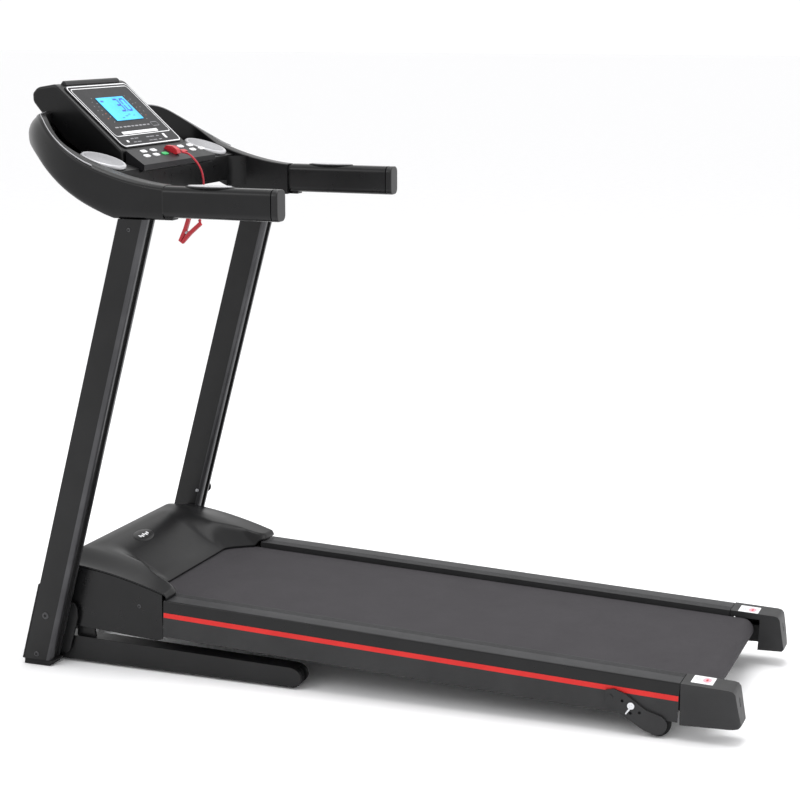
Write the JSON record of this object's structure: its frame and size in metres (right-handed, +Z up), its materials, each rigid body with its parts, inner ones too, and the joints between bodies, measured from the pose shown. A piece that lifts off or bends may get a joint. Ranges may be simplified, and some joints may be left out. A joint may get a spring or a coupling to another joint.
{
  "type": "folding treadmill",
  "caption": "Folding motorised treadmill: tilted belt deck between side rails, two raked uprights, horseshoe console with tilted display and straight handles.",
  "frame": {"origin": "middle of the overall length and width, on the floor", "axes": "+X towards the rear end of the belt, -X towards the console, -Y on the left hand of the runner, +Z up"},
  "size_m": [1.5258, 0.636, 1.1784],
  "materials": {
    "painted_steel": "satin black powder coat",
    "black_plastic": "fine matte grain",
    "gloss_black": "smooth, low gloss",
    "belt_rubber": "fine cross weave, matte",
    "bare_steel": "turned",
    "black_rubber": "matte",
    "red_plastic": "smooth",
    "white_plastic": "satin",
    "green_plastic": "satin",
    "silver_plastic": "metallic paint",
    "screen": "lit panel",
    "board_wood": "waxed board",
    "circuit_board": "lacquered"
  },
  "bodies": {
    "stand": {"base_crossbar": "painted_steel", "console_shell": "black_plastic", "console_deck": "black_plastic", "display_pod": "black_plastic", "display_panel": "gloss_black", "lcd_window": "screen", "keypad_panel": "gloss_black", "upright_left": "painted_steel", "base_tube_left": "painted_steel", "front_foot_left": "black_rubber", "handle_left": "black_plastic", "handle_cap_left": "gloss_black", "pulse_sensor_left": "silver_plastic", "speaker_left": "silver_plastic", "upright_right": "painted_steel", "base_tube_right": "painted_steel", "front_foot_right": "black_rubber", "handle_right": "black_plastic", "handle_cap_right": "gloss_black", "pulse_sensor_right": "silver_plastic", "speaker_right": "silver_plastic"},
    "deck": {"deck_frame": "painted_steel", "running_board": "board_wood", "running_belt": "belt_rubber", "motor_hood": "gloss_black", "motor_body": "bare_steel", "drive_belt": "black_rubber", "control_board": "circuit_board", "side_rail_left": "black_plastic", "end_cap_left": "black_plastic", "side_cover_left": "black_plastic", "side_rail_right": "black_plastic", "end_cap_right": "black_plastic", "side_cover_right": "black_plastic"},
    "transport_wheel_left": {"transport_wheel_left": "black_rubber"},
    "incline_leg_left": {"incline_leg_left": "painted_steel"},
    "leg_wheel_left": {"leg_wheel_left": "black_rubber"},
    "leg_pin_left": {"leg_pin_left": "bare_steel"},
    "transport_wheel_right": {"transport_wheel_right": "black_rubber"},
    "incline_leg_right": {"incline_leg_right": "painted_steel"},
    "leg_wheel_right": {"leg_wheel_right": "black_rubber"},
    "leg_pin_right": {"leg_pin_right": "bare_steel"},
    "drive_roller": {"drive_roller": "bare_steel"},
    "rear_roller": {"rear_roller": "bare_steel"},
    "motor_pulley": {"motor_pulley": "bare_steel"},
    "fold_lock_pin": {"fold_lock_pin": "bare_steel"},
    "key_incline_up": {"key_incline_up": "white_plastic"},
    "key_incline_down": {"key_incline_down": "white_plastic"},
    "key_speed_slow": {"key_speed_slow": "white_plastic"},
    "key_speed_fast": {"key_speed_fast": "white_plastic"},
    "key_mode": {"key_mode": "white_plastic"},
    "key_program": {"key_program": "white_plastic"},
    "key_start": {"key_start": "green_plastic"},
    "key_stop": {"key_stop": "red_plastic"},
    "key_slower": {"key_slower": "white_plastic"},
    "key_faster": {"key_faster": "white_plastic"},
    "safety_key": {"safety_key": "red_plastic", "safety_cord": "red_plastic", "clip_body": "red_plastic"},
    "clip_jaw": {"clip_jaw": "red_plastic"}
  },
  "joints": [
    {"name": "deck_fold", "type": "hinge", "parent": "stand", "child": "deck", "pos_m": [-0.5925, 0, 0.115], "axis": [0, -1, 0], "range_deg": [0, 75]},
    {"name": "transport_wheel_turn_left", "type": "hinge", "parent": "stand", "child": "transport_wheel_left", "pos_m": [-0.1285, -0.246, 0.02], "axis": [0, 1, 0], "continuous": true},
    {"name": "transport_wheel_turn_right", "type": "hinge", "parent": "stand", "child": "transport_wheel_right", "pos_m": [-0.1285, 0.246, 0.02], "axis": [0, 1, 0], "continuous": true},
    {"name": "key_incline_up_press", "type": "slide", "parent": "stand", "child": "key_incline_up", "axis": [-0.421, 0, -0.907], "range_m": [0, 0.0012], "stiffness_N_per_m": 600},
    {"name": "key_incline_down_press", "type": "slide", "parent": "stand", "child": "key_incline_down", "axis": [-0.421, 0, -0.907], "range_m": [0, 0.0012], "stiffness_N_per_m": 600},
    {"name": "key_speed_slow_press", "type": "slide", "parent": "stand", "child": "key_speed_slow", "axis": [-0.421, 0, -0.907], "range_m": [0, 0.0012], "stiffness_N_per_m": 600},
    {"name": "key_speed_fast_press", "type": "slide", "parent": "stand", "child": "key_speed_fast", "axis": [-0.421, 0, -0.907], "range_m": [0, 0.0012], "stiffness_N_per_m": 600},
    {"name": "key_mode_press", "type": "slide", "parent": "stand", "child": "key_mode", "axis": [-0.421, 0, -0.907], "range_m": [0, 0.0012], "stiffness_N_per_m": 600},
    {"name": "key_program_press", "type": "slide", "parent": "stand", "child": "key_program", "axis": [-0.421, 0, -0.907], "range_m": [0, 0.0012], "stiffness_N_per_m": 600},
    {"name": "key_start_press", "type": "slide", "parent": "stand", "child": "key_start", "axis": [-0.421, 0, -0.907], "range_m": [0, 0.0012], "stiffness_N_per_m": 600},
    {"name": "key_stop_press", "type": "slide", "parent": "stand", "child": "key_stop", "axis": [-0.421, 0, -0.907], "range_m": [0, 0.0012], "stiffness_N_per_m": 600},
    {"name": "key_slower_press", "type": "slide", "parent": "stand", "child": "key_slower", "axis": [-0.421, 0, -0.907], "range_m": [0, 0.0012], "stiffness_N_per_m": 600},
    {"name": "key_faster_press", "type": "slide", "parent": "stand", "child": "key_faster", "axis": [-0.421, 0, -0.907], "range_m": [0, 0.0012], "stiffness_N_per_m": 600},
    {"name": "safety_key_pull", "type": "slide", "parent": "stand", "child": "safety_key", "axis": [0.421, 0, 0.907], "range_m": [0, 0.02]},
    {"name": "clip_jaw_open", "type": "hinge", "parent": "safety_key", "child": "clip_jaw", "pos_m": [-0.47576, 0.018, 0.86529], "axis": [0, 1, 0], "range_deg": [0, 12], "stiffness_Nm_per_rad": 0.05, "springref_deg": -17.19},
    {"name": "fold_lock_push", "type": "slide", "parent": "stand", "child": "fold_lock_pin", "axis": [0, 1, 0], "range_m": [-0.007, 0]},
    {"name": "drive_roller_turn", "type": "hinge", "parent": "deck", "child": "drive_roller", "pos_m": [-0.48345, 0, 0.12161], "axis": [0, 1, 0], "continuous": true},
    {"name": "rear_roller_turn", "type": "hinge", "parent": "deck", "child": "rear_roller", "pos_m": [0.67962, 0, 0.07509], "axis": [0, 1, 0], "continuous": true},
    {"name": "motor_pulley_turn", "type": "hinge", "parent": "deck", "child": "motor_pulley", "pos_m": [-0.5595, 0, 0.152], "axis": [0, 1, 0], "continuous": true},
    {"name": "incline_leg_turn_left", "type": "hinge", "parent": "deck", "child": "incline_leg_left", "pos_m": [0.5225, -0.264, 0.069], "axis": [0, 1, 0], "range_deg": [0, 30]},
    {"name": "leg_wheel_turn_left", "type": "hinge", "parent": "incline_leg_left", "child": "leg_wheel_left", "pos_m": [0.6105, -0.2538, 0.025], "axis": [0, 1, 0], "continuous": true},
    {"name": "leg_pin_pull_left", "type": "slide", "parent": "incline_leg_left", "child": "leg_pin_left", "axis": [0, -1, 0], "range_m": [0, 0.01], "stiffness_N_per_m": 500},
    {"name": "incline_leg_turn_right", "type": "hinge", "parent": "deck", "child": "incline_leg_right", "pos_m": [0.5225, 0.264, 0.069], "axis": [0, 1, 0], "range_deg": [0, 30]},
    {"name": "leg_wheel_turn_right", "type": "hinge", "parent": "incline_leg_right", "child": "leg_wheel_right", "pos_m": [0.6105, 0.2538, 0.025], "axis": [0, 1, 0], "continuous": true},
    {"name": "leg_pin_pull_right", "type": "slide", "parent": "incline_leg_right", "child": "leg_pin_right", "axis": [0, 1, 0], "range_m": [0, 0.01], "stiffness_N_per_m": 500}
  ],
  "couplings": [
    {"joint": "rear_roller_turn", "follows": "drive_roller_turn", "ratio": 1},
    {"joint": "motor_pulley_turn", "follows": "drive_roller_turn", "ratio": 2.5}
  ]
}
